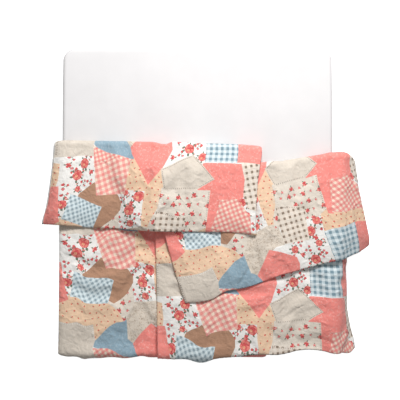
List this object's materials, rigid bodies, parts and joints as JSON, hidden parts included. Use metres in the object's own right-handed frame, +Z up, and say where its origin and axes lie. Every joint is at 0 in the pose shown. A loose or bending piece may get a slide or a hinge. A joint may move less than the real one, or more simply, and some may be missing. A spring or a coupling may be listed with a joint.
{
  "type": "pair of single duvet covers on a mattress",
  "caption": "Filled single duvets in patchwork-print cotton covers, turned down and lapped into each other over a plain mattress.",
  "frame": {"origin": "centre of the mattress's flat underside", "axes": "+Z up, +Y along the mattress towards the head, +X across it, to the right for someone who looks down with the head at the top"},
  "size_m": [2.2135, 2.0919, 0.3861],
  "materials": {
    "mattress": "white cotton jersey fitted sheet over the mattress, matt",
    "duvet_left": "printed cotton renforce cover over a light filling, matt, patchwork print in coral, beige, blue and cream",
    "duvet_right": "printed cotton renforce cover over a light filling, matt, the same patchwork print"
  },
  "bodies": {
    "root": {"mattress": "mattress", "duvet_left": "duvet_left", "duvet_right": "duvet_right"}
  },
  "joints": []
}
